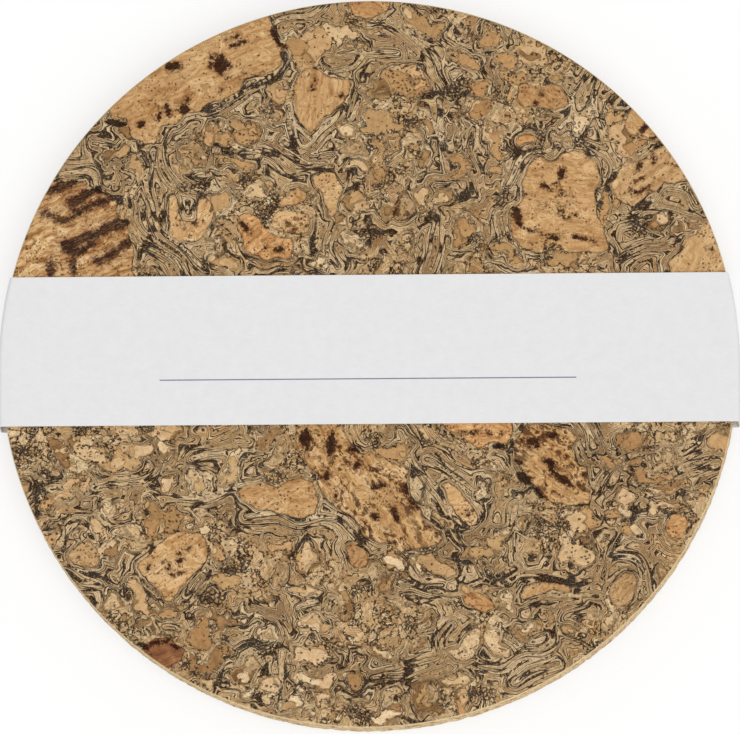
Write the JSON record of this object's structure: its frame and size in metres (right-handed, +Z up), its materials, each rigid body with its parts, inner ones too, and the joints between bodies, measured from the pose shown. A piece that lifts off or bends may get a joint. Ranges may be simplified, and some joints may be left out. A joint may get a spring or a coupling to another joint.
{
  "type": "round cork trivet",
  "caption": "Round laminated cork trivet: a marbled natural cork sheet on a fine grained cork board, in a pull-off sleeve of plain pale card.",
  "frame": {"origin": "under the middle of the disc, on the surface that the sleeved trivet lies on", "axes": "+Z up out of the marbled face, +Y the way the sleeve pulls off, +X along the sleeve's length"},
  "size_m": [0.196, 0.195, 0.0105],
  "materials": {
    "board_cork": "matte",
    "marbled_cork": "matte",
    "tan_cork": "matte",
    "orange_cork": "matte",
    "pale_cork": "matte",
    "russet_cork": "matte",
    "card": "matte",
    "glue": "matte"
  },
  "bodies": {
    "trivet": {"core_board": "board_cork", "face_glue": "glue", "face_sheet": "marbled_cork", "upper_left_slice": "tan_cork", "bark_slice": "orange_cork", "right_slice": "tan_cork", "right_rim_slice": "tan_cork", "right_edge_slice": "orange_cork", "dotted_slice": "tan_cork", "long_rough_slice": "pale_cork", "blotched_slice": "tan_cork", "pale_oval_slice": "pale_cork", "orange_block_slice": "orange_cork", "pale_left_flake": "pale_cork", "pale_right_flake": "pale_cork", "russet_chip": "russet_cork", "smooth_slice": "tan_cork", "amber_slice": "orange_cork", "speckled_slice": "pale_cork", "horseshoe_slice": "tan_cork", "top_slice": "tan_cork", "top_rim_slice": "orange_cork", "centre_slice": "tan_cork", "heart_slice": "tan_cork", "red_tip_slice": "orange_cork", "brown_slice": "orange_cork", "small_oval_slice": "orange_cork", "upper_rim_slice": "tan_cork", "orange_drop_slice": "orange_cork", "leaf_slice": "tan_cork", "low_orange_slice": "orange_cork", "lower_right_slice": "tan_cork", "right_low_slice": "orange_cork", "long_thin_slice": "tan_cork", "left_low_slice": "tan_cork"},
    "sleeve": {"card_sleeve": "card", "lap_glue": "glue"}
  },
  "joints": [
    {"name": "sleeve_slide", "type": "slide", "parent": "trivet", "child": "sleeve", "axis": [0, 1, 0], "range_m": [0, 0.12]}
  ]
}
